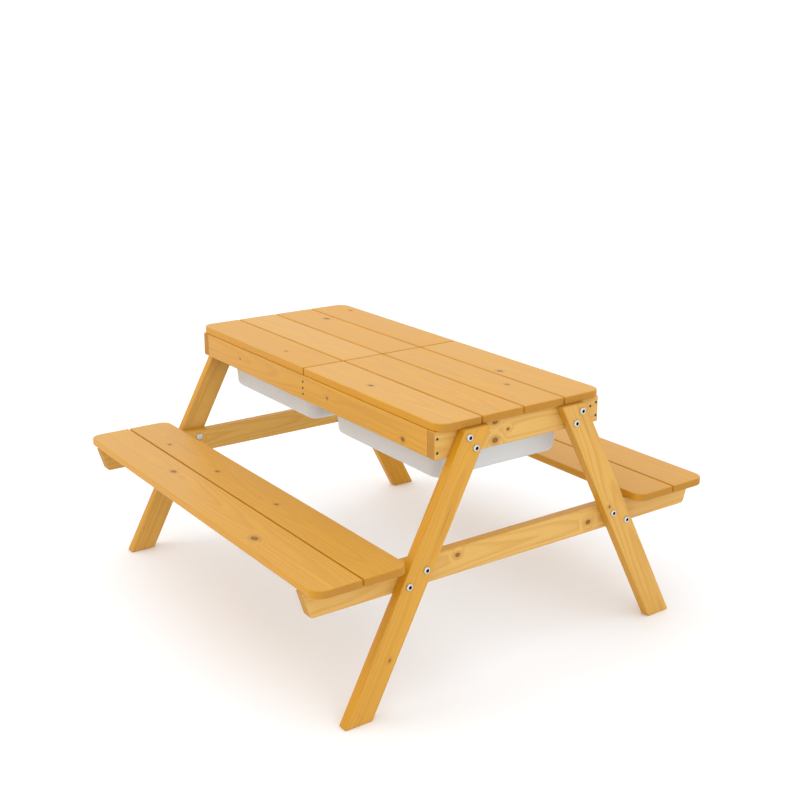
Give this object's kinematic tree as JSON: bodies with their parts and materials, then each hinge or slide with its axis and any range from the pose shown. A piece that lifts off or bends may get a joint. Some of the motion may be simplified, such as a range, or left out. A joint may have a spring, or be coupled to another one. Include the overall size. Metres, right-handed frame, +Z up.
{
  "type": "children's sand and water picnic table",
  "caption": "Children's wooden picnic table whose top lifts off in panels to uncover plastic sand and water bins hung in the frame, with a bench on each long side.",
  "frame": {"origin": "floor level under the middle of the table, at the centre of the overall width and depth", "axes": "+X along the benches and the table's long side, +Y from the front bench to the back bench, +Z up"},
  "size_m": [0.94, 0.904, 0.493],
  "materials": {
    "frame_wood": "honey-stained pine, satin oil",
    "leg_wood": "honey-stained pine, satin oil",
    "seat_wood": "honey-stained pine, satin oil",
    "lid_wood": "honey-stained pine, satin oil",
    "batten_wood": "honey-stained pine, sawn",
    "bin_plastic": "moulded polypropylene, fine matte",
    "zinc_steel": "bright zinc plate"
  },
  "bodies": {
    "frame": {"rail_front": "frame_wood", "rail_back": "frame_wood", "end_board_left": "frame_wood", "end_board_right": "frame_wood", "divider": "frame_wood", "stretcher_left": "frame_wood", "stretcher_right": "frame_wood", "leg_front_left": "leg_wood", "leg_front_right": "leg_wood", "leg_back_left": "leg_wood", "leg_back_right": "leg_wood", "bench_front_outer_board": "seat_wood", "bench_front_inner_board": "seat_wood", "bench_back_outer_board": "seat_wood", "bench_back_inner_board": "seat_wood", "ledge_front_left": "batten_wood", "ledge_back_left": "batten_wood", "ledge_front_right": "batten_wood", "ledge_back_right": "batten_wood", "ledge_end_left": "batten_wood", "ledge_end_right": "batten_wood", "ledge_divider_left": "batten_wood", "ledge_divider_right": "batten_wood", "bench_front_batten": "batten_wood", "bench_back_batten": "batten_wood", "bolt_front_left_1": "zinc_steel", "bolt_front_left_2": "zinc_steel", "bolt_front_left_3": "zinc_steel", "bolt_front_left_4": "zinc_steel", "bolt_front_right_1": "zinc_steel", "bolt_front_right_2": "zinc_steel", "bolt_front_right_3": "zinc_steel", "bolt_front_right_4": "zinc_steel", "bolt_back_left_1": "zinc_steel", "bolt_back_left_2": "zinc_steel", "bolt_back_left_3": "zinc_steel", "bolt_back_left_4": "zinc_steel", "bolt_back_right_1": "zinc_steel", "bolt_back_right_2": "zinc_steel", "bolt_back_right_3": "zinc_steel", "bolt_back_right_4": "zinc_steel"},
    "bin_left": {"bin_left": "bin_plastic"},
    "bin_right": {"bin_right": "bin_plastic"},
    "lid_left": {"lid_left_board_1": "lid_wood", "lid_left_board_2": "lid_wood", "lid_left_board_3": "lid_wood", "lid_left_board_4": "lid_wood", "lid_left_batten_inner": "batten_wood", "lid_left_batten_outer": "batten_wood"},
    "lid_right": {"lid_right_board_1": "lid_wood", "lid_right_board_2": "lid_wood", "lid_right_board_3": "lid_wood", "lid_right_board_4": "lid_wood", "lid_right_batten_inner": "batten_wood", "lid_right_batten_outer": "batten_wood"}
  },
  "joints": [
    {"name": "bin_left_lift", "type": "slide", "parent": "frame", "child": "bin_left", "axis": [0, 0, 1], "range_m": [0, 0.28]},
    {"name": "bin_right_lift", "type": "slide", "parent": "frame", "child": "bin_right", "axis": [0, 0, 1], "range_m": [0, 0.28]},
    {"name": "lid_left_lift", "type": "slide", "parent": "bin_left", "child": "lid_left", "axis": [0, 0, 1], "range_m": [0, 0.16]},
    {"name": "lid_right_lift", "type": "slide", "parent": "bin_right", "child": "lid_right", "axis": [0, 0, 1], "range_m": [0, 0.16]}
  ]
}
